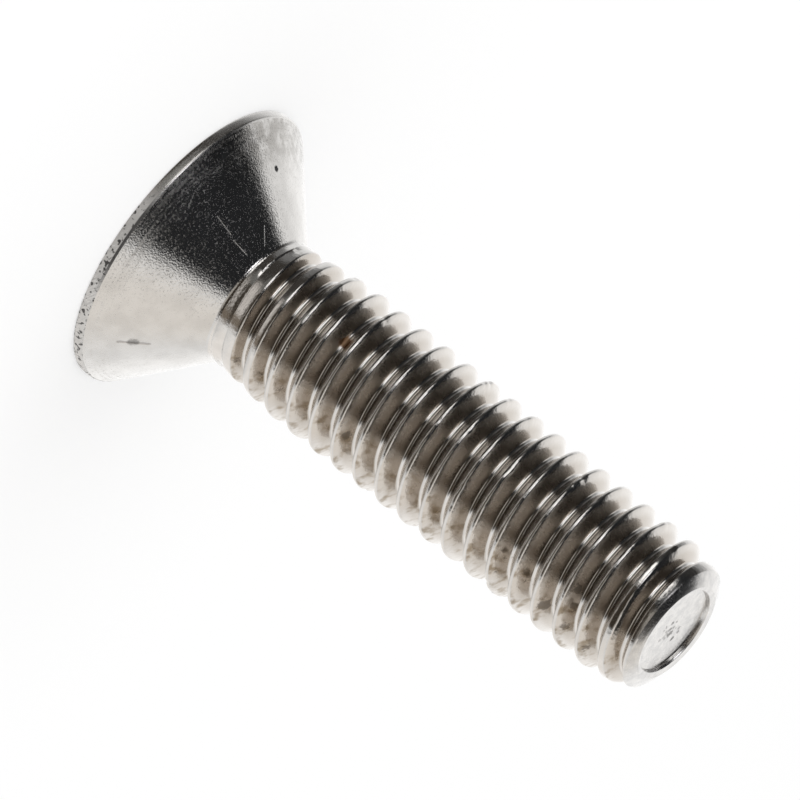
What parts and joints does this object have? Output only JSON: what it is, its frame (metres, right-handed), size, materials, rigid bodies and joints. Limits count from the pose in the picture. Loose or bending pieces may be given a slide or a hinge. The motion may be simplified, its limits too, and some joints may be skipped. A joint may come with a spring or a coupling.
{
  "type": "countersunk hexagon socket screw",
  "caption": "Stainless steel machine screw with a flat countersunk head, a hexagon socket, a full-length thread and a cupped end.",
  "frame": {"origin": "centre of the head's flat face, the face a screw's length is measured from", "axes": "+Z along the screw's axis, from the head to the end, so the screw stands on its head; the hexagon's flats face +Y and -Y, and the thread's start fixes X"},
  "size_m": [0.0076, 0.0076, 0.0157],
  "materials": {
    "steel": "cold-formed stainless steel with a satin head and a bright rolled thread, lightly soiled in the thread"
  },
  "bodies": {
    "root": {"screw": "steel"}
  },
  "joints": []
}
